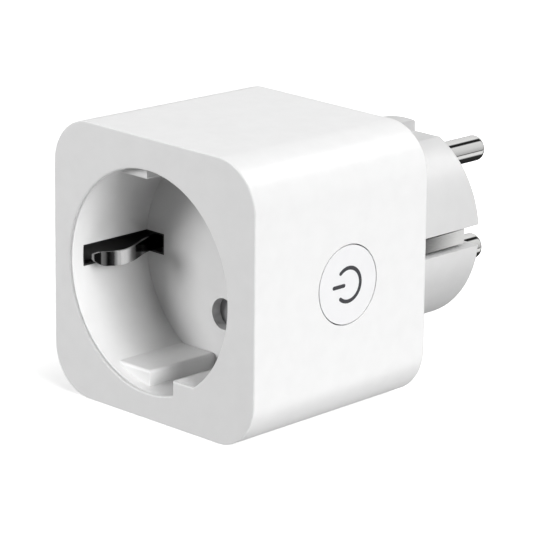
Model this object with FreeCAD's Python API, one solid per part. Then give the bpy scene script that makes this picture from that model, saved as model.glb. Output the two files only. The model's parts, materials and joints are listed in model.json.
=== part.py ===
"""Smart plug: a cube-shaped switched adaptor with a round earthed socket in front and two pins behind.

Millimetres. The origin is the middle of the plug nose's end face, half way between the pins.
+Y runs along the pins, away from the socket; +X is the side with the button; +Z is up.
"""

import FreeCAD, Part
import math
import os

Vector = FreeCAD.Vector
ORIGIN = Vector(0, 0, 0)
X_AXIS = Vector(1, 0, 0)
Y_AXIS = Vector(0, 1, 0)
Z_AXIS = Vector(0, 0, 1)

# ---- driving dimensions ----------------------------------------------------------------------

PIN_PITCH = 19.0             # between the two pins, and between the two socket holes
PIN_R = 2.4
PIN_LENGTH = 19.0
PIN_TIP_EDGE = 0.9           # radius round the tip
PIN_NECK_R = 2.2             # where it passes the end wall of the nose
PIN_COLLAR_R = 3.2           # behind that wall
PIN_COLLAR = 1.2             # thickness of the collar
PIN_TAIL_R = 1.4             # riveted end
EARTH_PIN_OFFSET = 10.0      # earth pin hole of the nose, from the middle
EARTH_HOLE_R = 2.6
EARTH_SLEEVE_R = 2.45        # bore of the earth contact behind that hole

RECESS_R = 20.0              # round socket recess
RECESS_DEPTH = 18.4
FLOOR = 2.0                  # thickness of the recess floor
CUP_WALL = 1.6
PIN_HOLE_R = 2.9
RIM_EDGE = 0.3               # radius round the recess mouth
MOUTH_LIP = 0.6              # the front plate, where it covers the cup's edge

BODY_SIZE = 50.6             # width and height at the front face
BODY_DEPTH = 42.9
BODY_TAPER = 0.55            # each side, from the front face to the back
BODY_CORNER_R = 8.9
BODY_X, BODY_Z = 1.35, 0.55  # middle of the body, from the socket axis
WALL = 2.0
FRONT_EDGE_R = 0.25
BACK_EDGE_R = 1.0

NOSE_R = 18.5
NOSE_LENGTH = 22.0
NOSE_WALL = 2.2
NOSE_END_WALL = 2.5
NOSE_EDGE_R = 0.6

SLOT_HALF = 1.95             # half height of every earth slot
LINER_THICK = 0.3            # dark channel that lines the slots of the recess
STRIP_HALF = 1.3             # half width of the earth strips and clips
STRIP_THICK = 0.8
CLIP_THICK = 0.5

BUTTON_R = 7.0
BUTTON_GAP = 0.22            # between the button and its opening
BUTTON_BACK = 22.65          # button middle, behind the front face
BUTTON_RISE = 0.33           # button middle, above the middle of the body

SCREW_OFFSET = 18.8          # screws, from the middle of the body
SCREW_R = 1.0
SCREW_HEAD_R = 2.0
SCREW_HEAD = 1.15            # height of a head
BOSS_R = 2.3

BOARD_THICK = 1.6
SKIN = 0.1                   # play between a lid or insert and what it sits in
BEYOND = 1.0                 # how far a cutting tool runs past what it cuts

# ---- places along Y --------------------------------------------------------------------------

NOSE_END = 0.0
NOSE_INSIDE = NOSE_END - NOSE_END_WALL
BACK = NOSE_END - NOSE_LENGTH
FRONT = BACK - BODY_DEPTH
RECESS_FLOOR = FRONT + RECESS_DEPTH
FLOOR_BACK = RECESS_FLOOR + FLOOR
PLATE_BACK = FRONT + WALL                 # inner face of the front plate
CUP_FRONT = FRONT + MOUTH_LIP
LID_FRONT = BACK - WALL                   # inner face of the rear cover's plate
BOARD_BACK = LID_FRONT - 1.0
BOARD_FRONT = BOARD_BACK - BOARD_THICK

SHUTTER_FRONT = FLOOR_BACK + 0.2
SHUTTER_BACK = SHUTTER_FRONT + 2.2
CARRIER_FRONT = SHUTTER_BACK + 0.2
CARRIER_BACK = CARRIER_FRONT + 3.5
BUS_FRONT = CARRIER_BACK + 0.1
BUS_BACK = BUS_FRONT + STRIP_THICK

# ---- places across ---------------------------------------------------------------------------

PIN_Z = PIN_PITCH / 2
STRIP_OUT_X = 17.3                        # outer face of a strip in the nose
STRIP_IN_X = STRIP_OUT_X - STRIP_THICK
BUTTON_Y = FRONT + BUTTON_BACK
BUTTON_Z = BODY_Z + BUTTON_RISE
SWITCH_Y = BUTTON_Y + 3.2                 # the switch stands just behind the recess floor
CONTROL_IN_X = 19.5
CONTROL_OUT_X = CONTROL_IN_X + 1.2
SWITCH_TOP_X = CONTROL_OUT_X + 1.7
PLUNGER_TOP_X = SWITCH_TOP_X + 0.55
OUTSIDE_X = 30.0                          # clear of the body on the button side


# ---- shape helpers ---------------------------------------------------------------------------

def block(x0, x1, y0, y1, z0, z1):
    return Part.makeBox(x1 - x0, y1 - y0, z1 - z0, Vector(x0, y0, z0))


def rod_x(y, z, radius, x0, x1):
    return Part.makeCylinder(radius, x1 - x0, Vector(x0, y, z), X_AXIS)


def rod_y(x, z, radius, y0, y1):
    return Part.makeCylinder(radius, y1 - y0, Vector(x, y0, z), Y_AXIS)


def tube_y(x, z, outer, inner, y0, y1):
    return rod_y(x, z, outer, y0, y1).cut(rod_y(x, z, inner, y0, y1))


def cone_y(x, z, r0, r1, y0, y1):
    return Part.makeCone(r0, r1, y1 - y0, Vector(x, y0, z), Y_AXIS)


def rounded_wire(place, half_u, half_v, radius):
    """A rectangle with round corners; place(u, v) puts a point of it in space."""
    diagonal = radius * (1 - math.sqrt(0.5))
    edges = []
    for turn in range(4):
        wide, tall = (half_v, half_u) if turn % 2 else (half_u, half_v)
        angle = turn * math.pi / 2
        cos, sin = round(math.cos(angle)), round(math.sin(angle))

        def at(u, v):
            return place(u * cos - v * sin, u * sin + v * cos)

        edges.append(Part.makeLine(at(wide, -tall + radius), at(wide, tall - radius)))
        corner = Part.Arc(at(wide, tall - radius), at(wide - diagonal, tall - diagonal),
                          at(wide - radius, tall))
        edges.append(corner.toShape())
    return Part.Wire(edges)


def body_wire(y, inset):
    """The body's rounded square at one depth, drawn in by inset."""
    taper = BODY_TAPER * (y - FRONT) / BODY_DEPTH
    half = BODY_SIZE / 2 - taper - inset

    def place(u, v):
        return Vector(BODY_X + u, y, BODY_Z + v)

    return rounded_wire(place, half, half, BODY_CORNER_R - inset)


def body_block(y0, y1, inset):
    return Part.makeLoft([body_wire(y0, inset), body_wire(y1, inset)], True, True)


def plate_x(x0, x1, y0, y1, z0, z1, radius):
    """A plate facing X with rounded corners."""
    mid_y, mid_z = (y0 + y1) / 2, (z0 + z1) / 2

    def place(u, v):
        return Vector(x0, mid_y + u, mid_z + v)

    face = Part.Face(rounded_wire(place, (y1 - y0) / 2, (z1 - z0) / 2, radius))
    return face.extrude(Vector(x1 - x0, 0, 0))


def plate_y(x0, x1, y0, y1, z0, z1, radius):
    """A plate facing Y with rounded corners."""
    mid_x, mid_z = (x0 + x1) / 2, (z0 + z1) / 2

    def place(u, v):
        return Vector(mid_x + u, y0, mid_z + v)

    face = Part.Face(rounded_wire(place, (x1 - x0) / 2, (z1 - z0) / 2, radius))
    return face.extrude(Vector(0, y1 - y0, 0))


def edges_at_y(shape, y):
    """Edges that lie wholly in the plane at one Y."""
    return [e for e in shape.Edges
            if abs(e.BoundBox.YMin - y) < 0.001 and abs(e.BoundBox.YMax - y) < 0.001]


def edges_at_x(shape, x):
    return [e for e in shape.Edges
            if abs(e.BoundBox.XMin - x) < 0.001 and abs(e.BoundBox.XMax - x) < 0.001]


def mirrored(shape):
    """The same thing on the other side of the socket axis."""
    return shape.mirror(ORIGIN, X_AXIS)


def half_turned(shape):
    """The same thing, turned half way round the socket axis."""
    turned = shape.copy()
    turned.rotate(ORIGIN, Y_AXIS, 180)
    return turned


def joined(shapes):
    return shapes[0].fuse(shapes[1:]).removeSplitter()


def screw_places():
    """The four screws, as x, z and the way outward from the middle in each."""
    return [(BODY_X + side * SCREW_OFFSET, BODY_Z + rise * SCREW_OFFSET, side, rise)
            for side in (-1, 1) for rise in (-1, 1)]


def span(start, step):
    """The two ends, in order, of a stretch from start to start + step."""
    return min(start, start + step), max(start, start + step)


# ---- housing ---------------------------------------------------------------------------------

STEP_LEFT = 6.6                           # the flush step at the lower right of the recess
STEP_TOP = -16.2
KEY_LEFT = -11.0                          # both guide keys, across
KEY_SET_BACK = 2.7                        # behind the front face
KEY_EDGE_R = 0.5
LOWER_KEY_RIGHT, LOWER_KEY_TOP = -2.1, -17.1
UPPER_KEY_RIGHT, UPPER_KEY_FOOT = -2.8, 17.3
SLOT_SET_BACK = 3.2                       # front end of the earth slots, behind the front face
SLOT_NEAR_X = 15.4                        # their inner end, in the recess floor
THROAT_X = 19.9                           # outer side of a liner behind the floor
WEB_REACH = 4.4                           # from a boss to the side wall
WEB_HALF = 0.6
SCREW_HOLE_DEPTH = 9.0


def recess_profile(y0, y1):
    """The space inside the recess: a cylinder less the flush step."""
    step = block(STEP_LEFT, RECESS_R + BEYOND, y0, y1, -RECESS_R - BEYOND, STEP_TOP)
    return rod_y(0, 0, RECESS_R, y0, y1).cut(step)


def screw_supports():
    """A boss for each screw, with a web from it to the side wall."""
    back = LID_FRONT - SKIN
    solids = []
    for x, z, side, _ in screw_places():
        web_x = span(x, side * WEB_REACH)
        solids.append(rod_y(x, z, BOSS_R, PLATE_BACK, back))
        solids.append(block(*web_x, PLATE_BACK, back, z - WEB_HALF, z + WEB_HALF))
    supports = solids[0].fuse(solids[1:])
    supports = supports.common(body_block(FRONT + FRONT_EDGE_R, LID_FRONT, WALL / 2))
    return supports.cut(rod_y(0, 0, RECESS_R + CUP_WALL + SKIN, PLATE_BACK, FLOOR_BACK + SKIN))


def housing_shell():
    """Outer cube, open behind, with the recess mouth, the button opening and four screw bosses."""
    outer = body_block(FRONT, BACK, 0)
    outer = outer.makeFillet(FRONT_EDGE_R, edges_at_y(outer, FRONT))
    outer = outer.makeFillet(BACK_EDGE_R, edges_at_y(outer, BACK))
    inside = body_block(PLATE_BACK, BACK + 0.001, WALL)
    shell = outer.cut(inside).fuse(screw_supports())
    shell = shell.cut(recess_profile(FRONT - BEYOND, CUP_FRONT + BEYOND))
    shell = shell.cut(rod_y(0, 0, RECESS_R + CUP_WALL, CUP_FRONT, PLATE_BACK + BEYOND))
    shell = shell.cut(rod_x(BUTTON_Y, BUTTON_Z, BUTTON_R + BUTTON_GAP, RECESS_R, OUTSIDE_X))
    for x, z, _, _ in screw_places():
        shell = shell.cut(rod_y(x, z, SCREW_R, LID_FRONT - SCREW_HOLE_DEPTH, LID_FRONT))
    shell = shell.removeSplitter()
    rim = [e for e in edges_at_y(shell, FRONT) if e.BoundBox.XMax <= RECESS_R + SKIN]
    return shell.makeFillet(RIM_EDGE, rim)


def earth_slot(inset, outer_x, back):
    """The way through the cup's wall and floor for an earth clip, on the +X side."""
    half = SLOT_HALF - inset
    in_wall = block(RECESS_R - BEYOND, outer_x, FRONT + SLOT_SET_BACK + inset, back, -half, half)
    in_floor = block(SLOT_NEAR_X + inset, outer_x, RECESS_FLOOR - SKIN, back, -half, half)
    return in_wall.fuse(in_floor)


def guide_keys():
    """The two ribs along the recess wall that guide a plug's grooves."""
    front = FRONT + KEY_SET_BACK
    zone = rod_y(0, 0, RECESS_R + CUP_WALL / 2, front, RECESS_FLOOR)
    lower = block(KEY_LEFT, LOWER_KEY_RIGHT, front, RECESS_FLOOR, -RECESS_R - BEYOND, LOWER_KEY_TOP)
    upper = block(KEY_LEFT, UPPER_KEY_RIGHT, front, RECESS_FLOOR, UPPER_KEY_FOOT, RECESS_R + BEYOND)
    keys = []
    for key in (lower, upper):
        inward = [e for e in key.Edges if e.BoundBox.ZLength < 0.01 and abs(e.BoundBox.ZMax) < 18]
        keys.append(key.makeFillet(KEY_EDGE_R, inward).common(zone))
    return keys


def socket_insert():
    """The cup: its wall, its floor with two pin holes, the guide keys and the step."""
    cup = rod_y(0, 0, RECESS_R + CUP_WALL, CUP_FRONT, FLOOR_BACK)
    cup = cup.cut(recess_profile(CUP_FRONT - BEYOND, RECESS_FLOOR))
    cup = joined([cup] + guide_keys())
    for z in (-PIN_Z, PIN_Z):
        cup = cup.cut(rod_y(0, z, PIN_HOLE_R, RECESS_FLOOR - BEYOND, FLOOR_BACK + BEYOND))
    far = RECESS_R + CUP_WALL + BEYOND
    slot = earth_slot(0, far, FLOOR_BACK + BEYOND)
    cup = cup.cut(slot).cut(mirrored(slot))
    step_hollow = block(STEP_LEFT + CUP_WALL, far, CUP_FRONT + WALL, FLOOR_BACK + BEYOND,
                        -far, STEP_TOP - CUP_WALL)
    return cup.cut(step_hollow).removeSplitter()


def liner_throat(inset, back):
    half = SLOT_HALF - inset
    return block(SLOT_NEAR_X + inset, THROAT_X - inset, RECESS_FLOOR, back, -half, half)


def slot_liner():
    """Dark channel round the clip on the +X side, with a throat behind the cup's floor."""
    play = 0.03
    inner = play + LINER_THICK
    outer_x, throat_back = RECESS_R + CUP_WALL, FLOOR_BACK + 1.5
    whole = earth_slot(play, outer_x - play, FLOOR_BACK).fuse(liner_throat(play, throat_back))
    hollow = earth_slot(inner, outer_x - inner, FLOOR_BACK - LINER_THICK)
    hollow = hollow.fuse(liner_throat(inner, throat_back + BEYOND))
    liner = whole.cut(hollow).cut(rod_y(0, 0, RECESS_R, FRONT, RECESS_FLOOR))
    return liner.removeSplitter()


def slot_liner_right():
    return slot_liner()


def slot_liner_left():
    return mirrored(slot_liner())


# ---- rear cover ------------------------------------------------------------------------------

SLOT_FLOOR_X = 14.2                       # bottom of the nose's earth slots
SLOT_PAD_HALF = 3.4                       # material round each slot, inside the nose
GROOVE_X0, GROOVE_X1 = 1.9, 8.3           # guide groove of the nose
GROOVE_FLOOR = 16.3
GROOVE_PAD = 1.5                          # material beside the groove, inside the nose
GROOVE_PAD_FOOT = 14.2
TAB_NEAR, TAB_FAR = -10.3, -7.7           # opening for the tab of the left strip


def nose_pads():
    """Thickenings inside the nose behind its two earth slots and its two guide grooves."""
    y0, y1 = LID_FRONT, NOSE_INSIDE + BEYOND
    at_slot = block(SLOT_FLOOR_X - BEYOND, NOSE_R - BEYOND, y0, y1, -SLOT_PAD_HALF, SLOT_PAD_HALF)
    at_groove = block(GROOVE_X0 - GROOVE_PAD, GROOVE_X1 + GROOVE_PAD, y0, y1,
                      GROOVE_PAD_FOOT, NOSE_R - NOSE_EDGE_R)
    pads = joined([at_slot, mirrored(at_slot), at_groove, half_turned(at_groove)])
    return pads.common(rod_y(0, 0, NOSE_R - NOSE_WALL / 2, y0, y1))


def nose_openings():
    """What is cut from the nose: slots, strip openings, grooves, pin holes and earth pin hole."""
    past = NOSE_END + BEYOND
    play = 0.15
    slot = block(SLOT_FLOOR_X, NOSE_R + BEYOND, BACK, past, -SLOT_HALF, SLOT_HALF)
    strip_way = block(STRIP_IN_X - play, STRIP_OUT_X + play, LID_FRONT - BEYOND, BACK + BEYOND,
                      -STRIP_HALF - play, STRIP_HALF + play)
    groove = block(GROOVE_X0, GROOVE_X1, BACK, past, GROOVE_FLOOR, NOSE_R + BEYOND)
    tab_way = block(-SLOT_FLOOR_X - BEYOND, -SLOT_FLOOR_X + 3 * BEYOND, TAB_NEAR, TAB_FAR,
                    -STRIP_HALF, STRIP_HALF)
    tools = [slot, mirrored(slot), strip_way, mirrored(strip_way), groove, half_turned(groove),
             tab_way]
    holes = ((0, -PIN_Z, PIN_R + 0.05), (0, PIN_Z, PIN_R + 0.05),
             (-EARTH_PIN_OFFSET, 0, EARTH_HOLE_R))
    for x, z, radius in holes:
        tools.append(rod_y(x, z, radius, NOSE_INSIDE - BEYOND, past))
    return tools


def rear_cover():
    """The plate that closes the body, with the hollow plug nose on it."""
    plate = body_block(LID_FRONT, BACK, WALL + SKIN)
    nose = rod_y(0, 0, NOSE_R, LID_FRONT, NOSE_END)
    nose = nose.makeFillet(NOSE_EDGE_R, edges_at_y(nose, NOSE_END))
    cavity = rod_y(0, 0, NOSE_R - NOSE_WALL, LID_FRONT - BEYOND, NOSE_INSIDE)
    cover = plate.fuse(nose).cut(cavity).fuse(nose_pads())
    for tool in nose_openings():
        cover = cover.cut(tool)
    for x, z, _, _ in screw_places():
        cover = cover.cut(rod_y(x, z, SCREW_R + 0.25, LID_FRONT - BEYOND, BACK + BEYOND))
        cover = cover.cut(rod_y(x, z, SCREW_HEAD_R + 0.15, BACK - SCREW_HEAD - 0.15, BACK + BEYOND))
    return cover.removeSplitter()


def cover_screws():
    """Four self-tapping screws with a low head and a cross recess."""
    head_back = BACK - 0.15
    head_front = head_back - SCREW_HEAD
    cone_start = LID_FRONT - 7.0
    cross = 1.2, 0.22
    screws = []
    for x, z, _, _ in screw_places():
        head = rod_y(x, z, SCREW_HEAD_R, head_front, head_back)
        head = head.makeFillet(0.25, edges_at_y(head, head_back))
        shank = rod_y(x, z, SCREW_R, cone_start, head_front)
        tip = cone_y(x, z, 0.3, SCREW_R, cone_start - 1, cone_start)
        screw = joined([head, shank, tip])
        for wide, tall in (cross, cross[::-1]):
            screw = screw.cut(block(x - wide, x + wide, BACK - 0.8, BACK, z - tall, z + tall))
        screws.append(screw)
    return Part.makeCompound(screws)


# ---- button and switch -----------------------------------------------------------------------

FLANGE_X = 23.35
FLANGE_THICK = 0.8
FLANGE_R = BUTTON_R + 0.9
FOOT_R = 1.6
SYMBOL_DEPTH = 0.25
SYMBOL_R = 2.98                           # middle of the symbol's arc
SYMBOL_STROKE = 0.7
SYMBOL_SHIFT = 0.12                       # the arc's middle, behind the button's middle
SYMBOL_GAP = 50                           # half the opening of the arc, degrees
BAR_FRONT, BAR_BACK = 3.9, 0.75           # ends of the bar, in front of the arc's middle
SWITCH_HALF = 3.0
PLUNGER_R = 1.72


def symbol_solid(x0):
    """The power symbol: an open ring with a bar through its gap, which faces the socket."""
    mid_y = BUTTON_Y + SYMBOL_SHIFT
    half = SYMBOL_STROKE / 2
    length = OUTSIDE_X - x0
    ring = rod_x(mid_y, BUTTON_Z, SYMBOL_R + half, x0, OUTSIDE_X)
    ring = ring.cut(rod_x(mid_y, BUTTON_Z, SYMBOL_R - half, x0, OUTSIDE_X))
    reach = 2 * SYMBOL_R
    rise = reach * math.tan(math.radians(SYMBOL_GAP))
    centre = Vector(x0, mid_y, BUTTON_Z)
    wedge = Part.Face(Part.makePolygon([centre, centre + Vector(0, -reach, rise),
                                        centre + Vector(0, -reach, -rise), centre]))
    ring = ring.cut(wedge.extrude(Vector(length, 0, 0)))
    ends = []
    for sign in (-1, 1):
        angle = math.radians(180 + sign * SYMBOL_GAP)
        ends.append(rod_x(mid_y + SYMBOL_R * math.cos(angle),
                          BUTTON_Z + SYMBOL_R * math.sin(angle), half, x0, OUTSIDE_X))
    bar = plate_x(x0, OUTSIDE_X, mid_y - BAR_FRONT, mid_y - BAR_BACK,
                  BUTTON_Z - half, BUTTON_Z + half, half * 0.98)
    return joined([ring] + ends).fuse(bar)


def symbol_pocket():
    """The space of the symbol, from a fixed depth below the housing's slanting side outward."""
    return symbol_solid(FLANGE_X + FLANGE_THICK).cut(body_block(FRONT, BACK, SYMBOL_DEPTH))


def button_cap():
    """A round cap flush with the side, with a flange behind the wall and a foot on the switch."""
    front = rod_x(BUTTON_Y, BUTTON_Z, BUTTON_R, FLANGE_X, OUTSIDE_X)
    front = front.common(body_block(FRONT, BACK, 0))
    flange = rod_x(BUTTON_Y, BUTTON_Z, FLANGE_R, FLANGE_X, FLANGE_X + FLANGE_THICK)
    foot = rod_x(SWITCH_Y, BUTTON_Z, FOOT_R, PLUNGER_TOP_X + 0.02, FLANGE_X + SKIN)
    return joined([front, flange, foot]).cut(symbol_pocket())


def button_symbol():
    """The dark inlay that fills the pocket, flush with the button."""
    return symbol_pocket().common(body_block(FRONT, BACK, 0))


def switch_body():
    """Low tactile switch, with a hole for its plunger."""
    body = block(CONTROL_OUT_X, SWITCH_TOP_X, SWITCH_Y - SWITCH_HALF, SWITCH_Y + SWITCH_HALF,
                 BUTTON_Z - SWITCH_HALF, BUTTON_Z + SWITCH_HALF)
    well = rod_x(SWITCH_Y, BUTTON_Z, PLUNGER_R + 0.08, CONTROL_OUT_X + 0.3, SWITCH_TOP_X + BEYOND)
    return body.cut(well)


def switch_plunger():
    return rod_x(SWITCH_Y, BUTTON_Z, PLUNGER_R, CONTROL_OUT_X + 0.8, PLUNGER_TOP_X)


# ---- control board ---------------------------------------------------------------------------

CONTROL_LOW, CONTROL_HIGH = -15.0, 14.5
RADIO_LOW, RADIO_HIGH = -14.5, -4.5
RADIO_Y0 = SWITCH_Y - 3.2
RADIO_Y1 = SWITCH_Y + 10.8
RADIO_OUT_X = CONTROL_OUT_X + 0.8


def control_board():
    """Small upright board behind the side wall."""
    return plate_x(CONTROL_IN_X, CONTROL_OUT_X, SWITCH_Y - 3.5, BOARD_FRONT - 0.4,
                   CONTROL_LOW, CONTROL_HIGH, 0.8)


def wifi_module():
    """Radio module: a thin board with a meander aerial along one end."""
    track, foil, run = 0.5, 0.05, 2.3
    aerial_y = RADIO_Y1 - 2.5
    solids = [block(CONTROL_OUT_X, RADIO_OUT_X, RADIO_Y0, RADIO_Y1, RADIO_LOW, RADIO_HIGH)]
    for step in range(4):
        z = RADIO_LOW + 0.8 + run * step
        side_y = aerial_y if step % 2 else aerial_y + 1.5
        for y0, y1, z1 in ((aerial_y, aerial_y + 2, z + track), (side_y, side_y + track, z + run)):
            solids.append(block(RADIO_OUT_X, RADIO_OUT_X + foil, y0, y1, z, z1))
    return joined(solids)


def wifi_shield():
    """Pressed can over the radio chip, open towards the module."""
    wall, height = 0.3, 1.2
    x0 = RADIO_OUT_X + 0.05
    y0, y1 = RADIO_Y0 + 0.6, RADIO_Y1 - 3.2
    z0, z1 = RADIO_LOW + 0.9, RADIO_HIGH - 0.9
    can = plate_x(x0, x0 + height, y0, y1, z0, z1, 0.6)
    return can.cut(block(x0 - BEYOND, x0 + height - wall, y0 + wall, y1 - wall,
                         z0 + wall, z1 - wall))


def status_led():
    """Small lamp beside the switch: a base with a clear lens on it."""
    y0, z0 = BUTTON_Y + 1.5, BUTTON_Z + 5
    top_of_base = CONTROL_OUT_X + 0.4
    base = block(CONTROL_OUT_X, top_of_base, y0, y0 + 3.2, z0, z0 + 1.6)
    lens = block(top_of_base, top_of_base + 0.4, y0 + 0.5, y0 + 2.7, z0 + 0.1, z0 + 1.5)
    return base.fuse(lens)


def board_header():
    """The right-angle row of contacts that joins the two boards."""
    first_z, pitch, pins, half = -12.9, 2.5, 4, 0.3
    front = BOARD_FRONT - 3.2
    mid_x = CONTROL_IN_X - 1.3
    solids = [block(CONTROL_IN_X - 2.5, CONTROL_IN_X, front, BOARD_FRONT,
                    first_z - 1.3, first_z + pitch * (pins - 1) + 1.2)]
    for n in range(pins):
        z = first_z + pitch * n
        solids.append(block(mid_x - half, mid_x + half, front - 1.2, front, z - half, z + half))
    return joined(solids)


# ---- main board and what stands on it --------------------------------------------------------

def main_board():
    """Board behind the socket, notched round the screw bosses and slotted for the earth strips."""
    y0, y1 = BOARD_FRONT - BEYOND, BOARD_BACK + BEYOND
    notch, notch_half, play = 9.0, 1.2, 0.2
    board = body_block(BOARD_FRONT, BOARD_BACK, WALL + 0.6)
    for x, z, side, rise in screw_places():
        board = board.cut(rod_y(x, z, BOSS_R + 0.6, y0, y1))
        notch_x = span(x, side * notch)
        notch_z = span(z - rise * notch_half, rise * (notch + notch_half))
        board = board.cut(block(*notch_x, y0, y1, *notch_z))
    slot = block(STRIP_IN_X - play, STRIP_OUT_X + play, y0, y1,
                 -STRIP_HALF - play, STRIP_HALF + play)
    return board.cut(slot).cut(mirrored(slot))


def can_capacitor(x, z, radius, height):
    """An upright can: sleeve, groove near its foot and vent cross on top."""
    top = BOARD_FRONT - height
    can = rod_y(x, z, radius, top, BOARD_FRONT)
    can = can.makeFillet(0.5, edges_at_y(can, top))
    can = can.cut(tube_y(x, z, radius + BEYOND, radius - 0.35, BOARD_FRONT - 2.2,
                         BOARD_FRONT - 1.6))
    cross = radius * 0.6, 0.15
    for wide, tall in (cross, cross[::-1]):
        can = can.cut(block(x - wide, x + wide, top - BEYOND, top + 0.2, z - tall, z + tall))
    return can


def bulk_capacitor():
    return can_capacitor(x=-12.0, z=-14.2, radius=4.0, height=13.0)


def output_capacitor():
    return can_capacitor(x=12.8, z=-7.5, radius=2.5, height=9.0)


def film_capacitor():
    """Boxed interference capacitor."""
    x, z, height = -14.5, 14.9, 11.0
    box = block(x, x + 9.7, BOARD_FRONT - height, BOARD_FRONT, z, z + 5.3)
    return box.makeFillet(0.5, [e for e in box.Edges if e.BoundBox.YMax < BOARD_FRONT - SKIN])


def varistor():
    """Coated disc on two legs."""
    x, z, radius, thick = -8.5, 7.6, 3.4, 2.6
    disc = rod_x(BOARD_FRONT - 5.2, z, radius, x - thick / 2, x + thick / 2)
    rims = edges_at_x(disc, x - thick / 2) + edges_at_x(disc, x + thick / 2)
    disc = disc.makeFillet(0.7, rims)
    legs = [rod_y(x, z + off, 0.35, BOARD_FRONT - 2.6, BOARD_FRONT) for off in (-1.5, 1.5)]
    return joined([disc] + legs)


def fuse_link():
    """Ceramic tube between two end caps."""
    x, z, cap_r, cap, length = -13.6, 8.4, 2.2, 1.8, 8.6
    front = BOARD_FRONT - length
    tube = rod_y(x, z, 1.9, front + cap / 2, BOARD_FRONT - cap / 2)
    caps = [rod_y(x, z, cap_r, y, y + cap) for y in (front, BOARD_FRONT - cap)]
    return joined([tube] + caps)


def filter_choke():
    """Drum core with its winding between two flanges."""
    x, z, flange, length = -12.4, -5.9, 1.0, 9.0
    front = BOARD_FRONT - length
    winding = rod_y(x, z, 2.9, front + flange / 2, BOARD_FRONT - flange / 2)
    flanges = [rod_y(x, z, 3.4, y, y + flange) for y in (front, BOARD_FRONT - flange)]
    return joined([winding] + flanges)


def chip(x0, z0, length, width, height, legs):
    """A moulded chip with a row of legs on each long side."""
    body = block(x0, x0 + length, BOARD_FRONT - height, BOARD_FRONT - 0.15, z0, z0 + width)
    pitch = length / legs
    feet = [block(x0 + pitch * (n + 0.3), x0 + pitch * (n + 0.7), BOARD_FRONT - 0.5, BOARD_FRONT,
                  z0 - 0.9, z0 + width + 0.9) for n in range(legs)]
    return joined([body] + feet)


def bridge_rectifier():
    return chip(x0=-6.6, z0=-20.4, length=5.0, width=3.8, height=2.5, legs=2)


def converter_chip():
    return chip(x0=4.4, z0=-6.4, length=5.0, width=3.8, height=1.6, legs=4)


def metering_chip():
    return chip(x0=4.8, z0=-15.6, length=10.0, width=3.8, height=1.6, legs=8)


def current_shunt():
    """Flat resistance strip bent like a staple."""
    x0, x1, z0, z1, height, thick = 3.0, 11.0, -20.4, -18.4, 4.0, 0.8
    outer = block(x0, x1, BOARD_FRONT - height, BOARD_FRONT, z0, z1)
    return outer.cut(block(x0 + thick, x1 - thick, BOARD_FRONT - height + thick,
                           BOARD_FRONT + BEYOND, z0 - BEYOND, z1 + BEYOND))


# ---- relay -----------------------------------------------------------------------------------

RELAY_X0, RELAY_X1 = 8.6, 16.4
RELAY_Z0, RELAY_Z1 = 4.6, 20.6
RELAY_SKIN = 0.7
RELAY_LIP = 0.6                           # rim of the base below the cover
RELAY_TOP = BOARD_FRONT - 14.8
RELAY_BASE = BOARD_FRONT - 1.6
RELAY_MID_X = (RELAY_X0 + RELAY_X1) / 2
IRON_HALF = 2.6                           # half width of the iron parts
IRON_Z0 = RELAY_Z0 + 1.2
YOKE_THICK = 1.1
CORE_R = 1.1
COIL_Z = RELAY_Z0 + 5.8
ARMATURE_Y = RELAY_TOP + 2.6
ARMATURE_THICK = 0.8
COIL_TOP = ARMATURE_Y + 1.5
RIVET_Z = RELAY_Z1 - 3.6
RIVET_R = 1.3
RIVET_HEIGHT = 0.9
CONTACT_GAP = 0.85


def relay_base():
    base = block(RELAY_X0 + 0.8, RELAY_X1 - 0.8, RELAY_BASE, BOARD_FRONT,
                 RELAY_Z0 + 0.8, RELAY_Z1 - 0.8)
    rim = block(RELAY_X0, RELAY_X1, BOARD_FRONT - RELAY_LIP, BOARD_FRONT, RELAY_Z0, RELAY_Z1)
    return joined([base, rim])


def relay_cover():
    cover = plate_y(RELAY_X0, RELAY_X1, RELAY_TOP, BOARD_FRONT - RELAY_LIP,
                    RELAY_Z0, RELAY_Z1, 0.6)
    return cover.cut(block(RELAY_X0 + RELAY_SKIN, RELAY_X1 - RELAY_SKIN, RELAY_TOP + RELAY_SKIN,
                           BOARD_FRONT, RELAY_Z0 + RELAY_SKIN, RELAY_Z1 - RELAY_SKIN))


def relay_coil():
    """Bobbin with its winding, round the core."""
    flange, flange_r, winding_r, foot_gap = 0.6, 3.0, 2.8, 1.0
    last = RELAY_BASE - foot_gap - flange
    winding = rod_y(RELAY_MID_X, COIL_Z, winding_r, COIL_TOP + flange / 2, last)
    flanges = [rod_y(RELAY_MID_X, COIL_Z, flange_r, y, y + flange) for y in (COIL_TOP, last)]
    coil = joined([winding] + flanges)
    return coil.cut(rod_y(RELAY_MID_X, COIL_Z, CORE_R, COIL_TOP - BEYOND, RELAY_BASE))


def relay_yoke():
    """Core and L-shaped iron frame; its upper edge carries the armature."""
    x0, x1 = RELAY_MID_X - IRON_HALF, RELAY_MID_X + IRON_HALF
    foot = block(x0, x1, RELAY_BASE - 1.0, RELAY_BASE, IRON_Z0, COIL_Z + IRON_HALF)
    back = block(x0, x1, ARMATURE_Y + 1.2, RELAY_BASE, IRON_Z0, IRON_Z0 + YOKE_THICK)
    core = rod_y(RELAY_MID_X, COIL_Z, CORE_R, COIL_TOP - SKIN, RELAY_BASE)
    return joined([foot, back, core])


def relay_armature():
    """Iron plate that tips about the yoke's edge."""
    return block(RELAY_MID_X - IRON_HALF, RELAY_MID_X + IRON_HALF, ARMATURE_Y,
                 ARMATURE_Y + ARMATURE_THICK, IRON_Z0, COIL_Z + 3.2)


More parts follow.
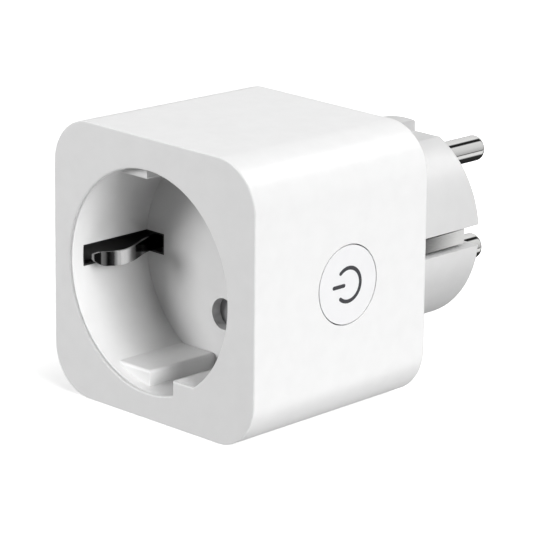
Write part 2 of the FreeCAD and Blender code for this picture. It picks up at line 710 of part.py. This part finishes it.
def relay_moving_contact():
    """Spring blade on the armature, with the moving contact rivet at its end."""
    blade_half, blade_thick = 1.8, 0.25
    blade = block(RELAY_MID_X - blade_half, RELAY_MID_X + blade_half, ARMATURE_Y - blade_thick,
                  ARMATURE_Y, RELAY_Z0 + 3.0, RIVET_Z + blade_half)
    rivet = rod_y(RELAY_MID_X, RIVET_Z, RIVET_R, ARMATURE_Y, ARMATURE_Y + RIVET_HEIGHT)
    return joined([blade, rivet])


def relay_fixed_contact():
    """Post with the fixed contact, below the moving one."""
    half, thick, rivet_height = 1.6, 0.7, 0.6
    rivet_y = ARMATURE_Y + RIVET_HEIGHT + CONTACT_GAP
    post_y = rivet_y + rivet_height
    post_z1 = RIVET_Z + 2.0
    rivet = rod_y(RELAY_MID_X, RIVET_Z, RIVET_R, rivet_y, post_y)
    post = block(RELAY_MID_X - half, RELAY_MID_X + half, post_y, post_y + thick,
                 RIVET_Z - half, post_z1)
    leg = block(RELAY_MID_X - half, RELAY_MID_X + half, post_y, RELAY_BASE,
                post_z1 - thick, post_z1)
    return joined([rivet, post, leg])


# ---- current path ----------------------------------------------------------------------------

CONTACT_R = 3.0
BUSBAR_THICK = 0.8
BUSBAR_BACK = NOSE_END - 5.7


def plug_pin(z):
    """Solid pin with a rounded tip, a collar behind the nose wall and a riveted tail."""
    collar_front = NOSE_INSIDE - PIN_COLLAR
    shank = rod_y(0, z, PIN_R, NOSE_END, PIN_LENGTH)
    shank = shank.makeFillet(PIN_TIP_EDGE, edges_at_y(shank, PIN_LENGTH))
    neck = rod_y(0, z, PIN_NECK_R, NOSE_INSIDE, NOSE_END)
    collar = rod_y(0, z, PIN_COLLAR_R, collar_front, NOSE_INSIDE)
    tail = rod_y(0, z, PIN_TAIL_R, collar_front - 2.7, collar_front)
    return joined([shank, neck, collar, tail])


def live_pin():
    return plug_pin(PIN_Z)


def neutral_pin():
    return plug_pin(-PIN_Z)


def pin_holder():
    """Inner plate that clamps both pins' collars against the nose wall."""
    thick = PIN_COLLAR + 2.0
    holder = plate_y(-5.2, 5.2, NOSE_INSIDE - thick, NOSE_INSIDE, -13.4, 13.4, 4.0)
    for z in (-PIN_Z, PIN_Z):
        holder = holder.cut(rod_y(0, z, PIN_COLLAR_R, NOSE_INSIDE - PIN_COLLAR, NOSE_END))
        holder = holder.cut(rod_y(0, z, PIN_TAIL_R, NOSE_INSIDE - thick - BEYOND, NOSE_INSIDE))
    return holder


def busbar(side):
    """Flat bar from one pin's tail to the back of the main board."""
    z, half = side * PIN_Z, 2.6
    front = BUSBAR_BACK - BUSBAR_THICK
    plate = plate_y(-half, half, front, BUSBAR_BACK, z - half, z + half, 0.8)
    plate = plate.cut(rod_y(0, z, PIN_TAIL_R, front - BEYOND, BUSBAR_BACK + BEYOND))
    leg_z = span(z + side * half, -side * BUSBAR_THICK)
    leg = block(-1.6, 1.6, BOARD_BACK, BUSBAR_BACK, *leg_z)
    return joined([plate, leg])


def live_busbar():
    return busbar(1)


def neutral_busbar():
    return busbar(-1)


def socket_contact(z):
    """Slit spring sleeve that grips an inserted pin, with a foot on the main board."""
    start, end = CARRIER_FRONT + 0.4, BOARD_FRONT - 3.0
    slit_half = 0.35
    sleeve = tube_y(0, z, CONTACT_R, PIN_R - 0.02, start, end)
    for wide, tall in ((CONTACT_R + BEYOND, slit_half), (slit_half, CONTACT_R + BEYOND)):
        sleeve = sleeve.cut(block(-wide, wide, start, end - 4.0, z - tall, z + tall))
    cap = rod_y(0, z, CONTACT_R, end - 0.6, end)
    foot = block(-1.6, 1.6, end, BOARD_FRONT, z - 0.4, z + 0.4)
    return joined([sleeve, cap, foot])


def live_contact():
    return socket_contact(PIN_Z)


def neutral_contact():
    return socket_contact(-PIN_Z)


# ---- shutter ---------------------------------------------------------------------------------

POST_R = 1.0
HUB_R = 3.0
POCKET_DEPTH = 3.1
WING_R = 3.5
SPRING_THICK = 0.2
SPRING_START_R = 1.45
SPRING_STEP = 0.25                        # growth of the spiral each half turn
SPRING_HALF_TURNS = 5


def contact_carrier():
    """Holds both sleeves behind the recess floor and carries the shutter's post."""
    root = CARRIER_FRONT + 0.5
    carrier = plate_y(-7.4, 7.4, CARRIER_FRONT, CARRIER_BACK, -14.4, 14.4, 1.2)
    for z in (-PIN_Z, PIN_Z):
        carrier = carrier.cut(rod_y(0, z, CONTACT_R + 0.05, CARRIER_FRONT - BEYOND,
                                    CARRIER_BACK + BEYOND))
    feet = [rod_y(x, z, 1.0, FLOOR_BACK, root) for x in (-6.3, 6.3) for z in (-13.2, 13.2)]
    post = rod_y(0, 0, POST_R, SHUTTER_FRONT + 0.2, root)
    pocket = tube_y(0, 0, HUB_R - SKIN, POST_R + 0.3, CARRIER_FRONT, CARRIER_FRONT + POCKET_DEPTH)
    return joined([carrier, post] + feet).cut(pocket)


def safety_shutter():
    """Two-winged rotor that covers both pin holes; sloped wings turn it as pins push in."""
    hub = rod_y(0, 0, HUB_R, SHUTTER_FRONT, SHUTTER_BACK)
    arm = block(-2.0, 2.0, SHUTTER_FRONT, SHUTTER_BACK, -PIN_Z, PIN_Z)
    wings = [rod_y(0, z, WING_R, SHUTTER_FRONT, SHUTTER_BACK) for z in (-PIN_Z, PIN_Z)]
    rotor = joined([hub, arm] + wings)
    rotor = rotor.cut(rod_y(0, 0, POST_R + 0.05, SHUTTER_FRONT - BEYOND, SHUTTER_BACK + BEYOND))
    front, deep = SHUTTER_FRONT - 0.01, SHUTTER_BACK - 0.6
    far, near, low = -WING_R - BEYOND, -1.0, PIN_Z - WING_R
    ramp = Part.Face(Part.makePolygon([Vector(far, front, low), Vector(near, front, low),
                                       Vector(far, deep, low), Vector(far, front, low)]))
    ramp = ramp.extrude(Vector(0, 0, 2 * WING_R))
    return rotor.cut(ramp).cut(half_turned(ramp))


def spiral_side(offset):
    """Half circles about two centres in turn, each one step wider, at one side of the strip."""
    y = CARRIER_FRONT + 0.3
    arcs = []
    for half_turn in range(SPRING_HALF_TURNS):
        back = half_turn % 2
        centre_x = SPRING_STEP * back
        radius = SPRING_START_R + SPRING_STEP * half_turn + offset
        way = -1 if back else 1
        arcs.append(Part.Arc(Vector(centre_x + way * radius, y, 0),
                             Vector(centre_x, y, way * radius),
                             Vector(centre_x - way * radius, y, 0)).toShape())
    return arcs


def shutter_spring():
    """Flat spiral spring in the carrier's pocket, round the post."""
    inner, outer = spiral_side(-SPRING_THICK / 2), spiral_side(SPRING_THICK / 2)
    ends = [Part.makeLine(inner[0].firstVertex().Point, outer[0].firstVertex().Point),
            Part.makeLine(inner[-1].lastVertex().Point, outer[-1].lastVertex().Point)]
    face = Part.Face(Part.Wire(Part.__sortEdges__(inner + outer + ends)))
    return face.extrude(Vector(0, 2.0, 0))


# ---- earth path ------------------------------------------------------------------------------

CLIP_SHAPE = ((3.8, 17.9), (5.0, 15.5), (7.7, 14.35), (12.2, 15.6), (16.6, 17.5), (19.4, 17.9))
STRIP_END = NOSE_END - 2.6


def leaf_side(outward):
    """One side of the clip's outline: depth behind the front face, distance from the middle."""
    return [Vector(x + outward, FRONT + depth, 0) for depth, x in CLIP_SHAPE]


def earth_clip():
    """Leaf spring on the +X side that bears on the edge contact of an inserted plug."""
    sides = leaf_side(0), leaf_side(CLIP_THICK)
    edges = [Part.makeLine(sides[0][n], sides[1][n]) for n in (0, -1)]
    for points in sides:
        curve = Part.BSplineCurve()
        curve.interpolate(points)
        edges.append(curve.toShape())
    face = Part.Face(Part.Wire(Part.__sortEdges__(edges)))
    leaf = face.extrude(Vector(0, 0, 2 * STRIP_HALF)).translate(Vector(0, 0, -STRIP_HALF))
    (tip_depth, _), (root_depth, root_x) = CLIP_SHAPE[0], CLIP_SHAPE[-1]
    tip, root = FRONT + tip_depth, FRONT + root_depth
    leaf = leaf.common(plate_x(0, OUTSIDE_X, tip, BACK, -STRIP_HALF, STRIP_HALF, 0.9))
    tail = block(root_x, root_x + CLIP_THICK, root, BUS_BACK, -STRIP_HALF, STRIP_HALF)
    return joined([leaf, tail])


def earth_clip_right():
    return earth_clip()


def earth_clip_left():
    return mirrored(earth_clip())


def earth_bus():
    """Flat bar behind the contact carrier that joins both clips and both nose strips."""
    end_x = CLIP_SHAPE[-1][1]
    return block(-end_x, end_x, BUS_FRONT, BUS_BACK, -2.2, 2.2)


def bowed(strip):
    """The strip with its outer face bowed, highest in the middle of the nose."""
    rise, half_length = 0.4, NOSE_LENGTH / 2
    bow_r = (half_length ** 2 + rise ** 2) / (2 * rise)
    bow = Part.makeCylinder(bow_r, 2 * STRIP_HALF,
                            Vector(STRIP_OUT_X - bow_r, BACK / 2, -STRIP_HALF), Z_AXIS)
    in_nose = block(0, STRIP_OUT_X, BACK, NOSE_END, -STRIP_HALF, STRIP_HALF)
    return strip.cut(in_nose.cut(bow))


def earth_strip(extras):
    """Edge contact lying in the nose's slot, from the bus out to a turned-in end."""
    strip = block(STRIP_IN_X, STRIP_OUT_X, BUS_BACK, STRIP_END, -STRIP_HALF, STRIP_HALF)
    turned = block(STRIP_IN_X - 2 * STRIP_THICK, STRIP_OUT_X, STRIP_END - STRIP_THICK, STRIP_END,
                   -STRIP_HALF, STRIP_HALF)
    strip = joined([strip, turned])
    bend = [e for e in edges_at_x(strip, STRIP_OUT_X) if e.BoundBox.YMin > STRIP_END - 0.01]
    return joined([bowed(strip.makeFillet(STRIP_THICK * 0.7, bend))] + extras)


def earth_strip_right():
    return earth_strip([])


def earth_strip_left():
    """The strip beside the earth pin hole, with a tab that carries the hole's contact."""
    tab = block(EARTH_PIN_OFFSET + 3.0, STRIP_IN_X + SKIN, TAB_NEAR + 0.3, TAB_FAR - 0.3, -1.0, 1.0)
    return mirrored(earth_strip([tab]))


def earth_pin_socket():
    """Female earth contact behind the nose's earth pin hole, slit on its inner side."""
    x, start, slit_half = -EARTH_PIN_OFFSET, NOSE_END - 14.0, 0.35
    sleeve = tube_y(x, 0, 3.0, EARTH_SLEEVE_R, start, NOSE_INSIDE)
    return sleeve.cut(block(x, 0, start + 2.0, NOSE_END, -slit_half, slit_half))


# ---- build -----------------------------------------------------------------------------------

NODES = (
    housing_shell, socket_insert, slot_liner_left, slot_liner_right, rear_cover, cover_screws,
    button_cap, button_symbol, switch_body, switch_plunger,
    control_board, wifi_module, wifi_shield, status_led, board_header,
    main_board, bulk_capacitor, output_capacitor, film_capacitor, varistor, fuse_link,
    filter_choke, bridge_rectifier, converter_chip, metering_chip, current_shunt,
    relay_base, relay_cover, relay_coil, relay_yoke, relay_armature,
    relay_moving_contact, relay_fixed_contact,
    live_pin, neutral_pin, pin_holder, live_busbar, neutral_busbar,
    live_contact, neutral_contact, contact_carrier, safety_shutter, shutter_spring,
    earth_clip_left, earth_clip_right, earth_bus,
    earth_strip_left, earth_strip_right, earth_pin_socket,
)


def build():
    os.makedirs("parts", exist_ok=True)
    for make in NODES:
        shape = make()
        shape.exportStep("parts/" + make.__name__ + ".step")
        print(make.__name__, len(shape.Solids), shape.isValid(), round(shape.Volume, 1))


build()
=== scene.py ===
"""The looks of the smart plug: camera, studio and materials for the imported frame.

Metres, in the frame of the CAD model: +Y along the pins, +X the button side, +Z up.
"""

import bpy
import json
import math
from mathutils import Matrix, Vector


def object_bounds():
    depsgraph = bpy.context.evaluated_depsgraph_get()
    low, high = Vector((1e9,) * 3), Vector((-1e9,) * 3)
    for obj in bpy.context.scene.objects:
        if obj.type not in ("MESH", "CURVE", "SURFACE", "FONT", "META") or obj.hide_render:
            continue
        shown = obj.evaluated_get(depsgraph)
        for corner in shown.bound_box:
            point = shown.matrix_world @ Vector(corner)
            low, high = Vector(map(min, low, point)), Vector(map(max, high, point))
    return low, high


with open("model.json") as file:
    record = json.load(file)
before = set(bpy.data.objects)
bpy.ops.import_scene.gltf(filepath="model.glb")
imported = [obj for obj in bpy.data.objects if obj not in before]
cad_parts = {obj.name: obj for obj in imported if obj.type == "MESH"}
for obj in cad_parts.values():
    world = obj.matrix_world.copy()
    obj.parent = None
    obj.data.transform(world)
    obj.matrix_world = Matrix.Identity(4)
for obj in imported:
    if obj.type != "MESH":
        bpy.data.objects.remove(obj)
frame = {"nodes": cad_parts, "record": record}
cad_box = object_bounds()

MM = 0.001
MIDDLE = (cad_box[0] + cad_box[1]) / 2


# ---- shared helpers --------------------------------------------------------------------------

def nodes_of(slot):
    """The CAD nodes whose material slot this is."""
    return [frame["nodes"][part["node"]] for part in frame["record"]["subparts"]
            if part["material_slot"] == slot]


def fill_ramp(ramp, greys):
    """Gives a colour ramp one stop for each position and grey."""
    stops = ramp.color_ramp.elements
    while len(stops) < len(greys):
        stops.new(0.5)
    for stop, (position, grey) in zip(stops, greys):
        stop.position = position
        stop.color = (grey, grey, grey, 1)


# ---- camera ----------------------------------------------------------------------------------

def direction(azimuth, elevation):
    """Unit vector from the object towards a viewer; azimuth 0 is in front, 90 on the button side."""
    turn, rise = math.radians(azimuth), math.radians(elevation)
    return Vector((math.sin(turn) * math.cos(rise), -math.cos(turn) * math.cos(rise),
                   math.sin(rise)))


def add_camera():
    """A long lens at the right of the front, a little above, tipped by half a degree."""
    azimuth, elevation, roll = 45.43, 16.40, 0.526
    distance = 653.4 * MM
    aim = MIDDLE + Vector((-5.94, -8.44, -5.28)) * MM
    data = bpy.data.cameras.new("camera")
    data.sensor_width = 36.0
    data.lens = 245.5
    data.clip_start = 0.01
    camera = bpy.data.objects.new("camera", data)
    bpy.context.scene.collection.objects.link(camera)
    back = direction(azimuth, elevation)
    right = Vector((math.cos(math.radians(azimuth)), math.sin(math.radians(azimuth)), 0))
    up = back.cross(right)
    basis = Matrix((right, up, back)).transposed()
    camera.matrix_world = (Matrix.Translation(aim + back * distance) @ basis.to_4x4()
                           @ Matrix.Rotation(math.radians(roll), 4, "Z"))
    bpy.context.scene.camera = camera


# ---- studio ----------------------------------------------------------------------------------

def softbox(name, azimuth, elevation, distance, width, height, power):
    """A rectangular area light aimed at the middle of the object."""
    data = bpy.data.lights.new(name, "AREA")
    data.shape = "RECTANGLE"
    data.size, data.size_y = width, height
    data.energy = power
    light = bpy.data.objects.new(name, data)
    back = direction(azimuth, elevation)
    light.location = MIDDLE + back * distance
    light.rotation_euler = back.to_track_quat("Z", "Y").to_euler()
    bpy.context.scene.collection.objects.link(light)
    return light


# name, azimuth, elevation, distance, width, height, power
ROOM_LIGHTS = (
    ("key", 86, 30, 0.8, 0.5, 0.4, 2.7),
    ("high_key", 75, 55, 0.8, 0.5, 0.4, 1.2),
    ("front_fill", -25, 15, 0.8, 0.3, 0.3, 3.6),
    ("top", 150, 75, 0.7, 0.6, 0.6, 0.9),
    ("back_top", 159, 44, 0.8, 0.3, 0.3, 2.0),
    ("low_fill", 120, -30, 0.7, 0.5, 0.3, 1.0),
    ("under_fill", 80, -55, 0.7, 0.5, 0.3, 2.1),
)
RECESS_LIGHTS = (
    ("recess_side", 71, 18, 0.8, 0.25, 0.25, 6.0),
    ("recess_high", 80, 40, 0.8, 0.25, 0.25, 1.6),
    ("recess_front", -25, 15, 0.8, 0.25, 0.25, 1.4),
)


def light_group(name, slot):
    """A collection of the CAD nodes of one slot, for lights to pick out or leave out."""
    group = bpy.data.collections.new(name)
    for node in nodes_of(slot):
        group.objects.link(node)
    return group


def add_lights():
    """Soft light on all but the polished nickel, and three lights for the recess cup only."""
    room_lights = [softbox(*light) for light in ROOM_LIGHTS]
    recess_lights = [softbox(*light) for light in RECESS_LIGHTS]
    # an excluded entry gets none of a light; everything that isn't in the group gets all of it
    unpolished = light_group("unpolished", "nickel")
    for entry in unpolished.collection_objects:
        entry.light_linking.link_state = "EXCLUDE"
    for light in room_lights:
        light.light_linking.receiver_collection = unpolished
    recess = light_group("recess", "white_insert")
    for light in recess_lights:
        light.light_linking.receiver_collection = recess


def background(nodes, strength):
    shade = nodes.new("ShaderNodeBackground")
    shade.inputs["Color"].default_value = (1, 1, 1, 1)
    shade.inputs["Strength"].default_value = strength
    return shade


def studio_stripes(nodes, links):
    """What polished metal reflects: long light and dark panels that run from front to back.

    Each panel is an angle about the Y axis, in degrees from +X towards +Z, and a grey.
    """
    panels = ((-160, 0.02), (-62, 0.03), (-50, 0.9), (-25, 0.9), (-22, 0.02), (-19, 0.02),
              (-14, 0.5), (20, 0.75), (62, 0.85), (70, 0.02), (92, 0.02), (100, 0.9), (165, 0.75))
    place = nodes.new("ShaderNodeTexCoord")
    turn = nodes.new("ShaderNodeMapping")
    turn.inputs["Rotation"].default_value = (math.radians(-90), 0, 0)
    around = nodes.new("ShaderNodeTexGradient")
    around.gradient_type = "RADIAL"
    ramp = nodes.new("ShaderNodeValToRGB")
    fill_ramp(ramp, [(angle / 360 + 0.5, grey) for angle, grey in panels])
    stripes = background(nodes, 1.0)
    links.new(place.outputs["Generated"], turn.inputs["Vector"])
    links.new(turn.outputs["Vector"], around.inputs["Vector"])
    links.new(around.outputs["Fac"], ramp.inputs["Fac"])
    links.new(ramp.outputs["Color"], stripes.inputs["Color"])
    return stripes


def add_world():
    """Dim room light, panels for reflections only, and white paper behind the object."""
    room_light, paper_light = 0.18, 1.0
    world = bpy.data.worlds.new("studio")
    world.use_nodes = True
    nodes, links = world.node_tree.nodes, world.node_tree.links
    nodes.clear()
    shade = background(nodes, room_light)
    path = nodes.new("ShaderNodeLightPath")
    for ray, other in (("Is Glossy Ray", studio_stripes(nodes, links)),
                       ("Is Camera Ray", background(nodes, paper_light))):
        mix = nodes.new("ShaderNodeMixShader")
        links.new(path.outputs[ray], mix.inputs["Fac"])
        links.new(shade.outputs[0], mix.inputs[1])
        links.new(other.outputs[0], mix.inputs[2])
        shade = mix
    out = nodes.new("ShaderNodeOutputWorld")
    links.new(shade.outputs[0], out.inputs["Surface"])
    bpy.context.scene.world = world


def add_floor():
    """A sheet of pale paper that takes the object's shadow but throws no light on it."""
    reach = 3.0
    z = cad_box[0].z
    mesh = bpy.data.meshes.new("floor")
    mesh.from_pydata([(-reach, -reach, z), (reach, -reach, z), (reach, reach, z), (-reach, reach, z)],
                     [], [(0, 1, 2, 3)])
    floor = bpy.data.objects.new("floor", mesh)
    bpy.context.scene.collection.objects.link(floor)
    surface = Surface("paper", (0.95, 0.95, 0.95), 0.9)
    surface.set("Emission Color", (1, 1, 1, 1))
    surface.set("Emission Strength", 0.45)
    mesh.materials.append(surface.material)
    floor.visible_diffuse = False
    floor.visible_glossy = False
    floor.visible_shadow = False


# ---- materials -------------------------------------------------------------------------------

class Surface:
    """A Principled material with shortcuts for its procedural nodes, in object coordinates."""

    def __init__(self, name, color, roughness, metallic=0.0):
        self.material = bpy.data.materials.new(name)
        self.material.use_nodes = True
        self.tree = self.material.node_tree
        self.shader = self.tree.nodes["Principled BSDF"]
        self.set("Base Color", (*color, 1))
        self.set("Roughness", roughness)
        self.set("Metallic", metallic)
        self.place = self.node("ShaderNodeTexCoord").outputs["Object"]

    def set(self, socket, value):
        self.shader.inputs[socket].default_value = value

    def node(self, kind):
        return self.tree.nodes.new(kind)

    def link(self, output, target):
        self.tree.links.new(output, target)

    def noise(self, size, detail=2.0, stretch=(1, 1, 1)):
        """Fractal noise whose grains are about size across, drawn out by stretch."""
        scale = self.node("ShaderNodeMapping")
        scale.inputs["Scale"].default_value = [1 / s for s in stretch]
        texture = self.node("ShaderNodeTexNoise")
        texture.inputs["Scale"].default_value = 1 / size
        texture.inputs["Detail"].default_value = detail
        self.link(self.place, scale.inputs["Vector"])
        self.link(scale.outputs["Vector"], texture.inputs["Vector"])
        return texture.outputs["Fac"]

    def vary(self, socket, factor, low, high):
        """Drives a socket between two values or colours by a factor."""
        ramp = self.node("ShaderNodeValToRGB")
        ramp.color_ramp.elements[0].position = 0.3
        ramp.color_ramp.elements[1].position = 0.7
        for element, value in zip(ramp.color_ramp.elements, (low, high)):
            element.color = (*value, 1) if isinstance(value, tuple) else (value, value, value, 1)
        self.link(factor, ramp.inputs["Fac"])
        self.link(ramp.outputs["Color"], self.shader.inputs[socket])

    def bump(self, height, depth):
        """Relief of a real depth from a height between 0 and 1."""
        bump = self.node("ShaderNodeBump")
        bump.inputs["Distance"].default_value = depth
        self.link(height, bump.inputs["Height"])
        self.link(bump.outputs["Normal"], self.shader.inputs["Normal"])


def plastic(name, color, roughness, grain=0.12 * MM, depth=0.0015 * MM):
    """Moulded plastic: faint mottling, uneven gloss and the fine grain of the tool."""
    surface = Surface(name, color, roughness)
    dull = tuple(c * 0.975 for c in color)
    surface.vary("Base Color", surface.noise(3 * MM), dull, color)
    surface.vary("Roughness", surface.noise(1.2 * MM), roughness - 0.04, roughness + 0.05)
    surface.bump(surface.noise(grain, 3.0), depth)
    return surface


def white_plastic(name, color, roughness):
    surface = plastic(name, color, roughness)
    surface.set("Subsurface Weight", 0.1)
    surface.set("Subsurface Radius", (1.0, 1.0, 1.0))
    surface.set("Subsurface Scale", 0.6 * MM)
    return surface


def metal(name, color, roughness, stretch=(1, 1, 1)):
    surface = Surface(name, color, roughness, 1.0)
    surface.vary("Roughness", surface.noise(0.3 * MM, 4.0, stretch), roughness * 0.7, roughness * 1.4)
    surface.bump(surface.noise(0.08 * MM, 3.0, stretch), 0.0008 * MM)
    return surface


def clip_metal_with_painted_reflections():
    """The earth clips' nickel, with painted reflections: dull and bright bands along the leaf.

    The bands stand in for reflections. Each is a share of the leaf's length from its tip, and a grey.
    """
    painted_reflection_bands = ((0.0, 0.25), (0.05, 0.05), (0.09, 0.15), (0.12, 0.95), (0.24, 0.9), (0.29, 0.4),
             (0.34, 0.03), (0.40, 0.03), (0.45, 0.35), (0.50, 0.3), (0.56, 0.02))
    surface = metal("clip_nickel_painted_reflections", (0.8, 0.8, 0.79), 0.08, (1, 12, 1))
    along = surface.node("ShaderNodeSeparateXYZ")
    surface.link(surface.node("ShaderNodeTexCoord").outputs["Generated"], along.inputs["Vector"])
    ramp = surface.node("ShaderNodeValToRGB")
    fill_ramp(ramp, painted_reflection_bands)
    surface.link(along.outputs["Y"], ramp.inputs["Fac"])
    # painted reflections: the bands set the base colour along the leaf
    surface.link(ramp.outputs["Color"], surface.shader.inputs["Base Color"])
    return surface


MATERIALS = {
    "white_shell": lambda n: white_plastic(n, (0.86, 0.86, 0.86), 0.36),
    # painted shade: greyer than the shell's white, so the recess cup and its corners read darker
    "white_insert": lambda n: white_plastic(n, (0.62, 0.62, 0.62), 0.42),
    # painted shade: greyer than the shell's white, so the nose reads as shaded by the body
    "white_nose": lambda n: white_plastic(n, (0.66, 0.66, 0.66), 0.36),
    "white_button": lambda n: white_plastic(n, (0.86, 0.86, 0.87), 0.34),
    "symbol_black": lambda n: plastic(n, (0.02, 0.02, 0.025), 0.5),
    "nickel": lambda n: metal(n, (0.80, 0.80, 0.79), 0.06, (1, 12, 1)),
    "screw_steel": lambda n: metal(n, (0.55, 0.55, 0.56), 0.3),
    "can_steel": lambda n: metal(n, (0.6, 0.6, 0.6), 0.35),
    "contact_brass": lambda n: metal(n, (0.78, 0.58, 0.28), 0.25),
    "winding_copper": lambda n: metal(n, (0.72, 0.36, 0.2), 0.35),
    "board_green": lambda n: plastic(n, (0.03, 0.16, 0.07), 0.35),
    "chip_black": lambda n: plastic(n, (0.025, 0.025, 0.028), 0.55),
    "switch_black": lambda n: plastic(n, (0.03, 0.03, 0.03), 0.45),
    # painted shade: a near-black liner that stands in for the deep shade in the earth slots
    "liner_black": lambda n: plastic(n, (0.008, 0.008, 0.008), 0.35),
    "sleeve_black": lambda n: plastic(n, (0.03, 0.035, 0.05), 0.3),
    "box_yellow": lambda n: plastic(n, (0.75, 0.55, 0.06), 0.4),
    "disc_blue": lambda n: plastic(n, (0.05, 0.14, 0.45), 0.45),
    "fuse_ceramic": lambda n: plastic(n, (0.75, 0.72, 0.66), 0.3),
    "relay_plastic": lambda n: plastic(n, (0.04, 0.12, 0.3), 0.4),
    "inner_plastic": lambda n: plastic(n, (0.1, 0.1, 0.11), 0.5),
    "shutter_grey": lambda n: plastic(n, (0.3, 0.3, 0.31), 0.5),
    "lens_clear": lambda n: plastic(n, (0.8, 0.82, 0.85), 0.15),
}


def dress_nodes():
    """Gives each CAD node the material of its slot, and the earth clips their own nickel with painted
    reflections.
    """
    for name, make in MATERIALS.items():
        material = make(name).material
        for node in nodes_of(name):
            for slot in node.material_slots:
                slot.material = material
    # the earth clips get nickel with painted reflections in its base colour
    painted_reflection_nickel = clip_metal_with_painted_reflections().material
    for name in ("earth_clip_left", "earth_clip_right"):
        for slot in frame["nodes"][name].material_slots:
            slot.material = painted_reflection_nickel


add_camera()
add_lights()
add_world()
add_floor()
dress_nodes()
bpy.context.scene.view_settings.view_transform = "Standard"
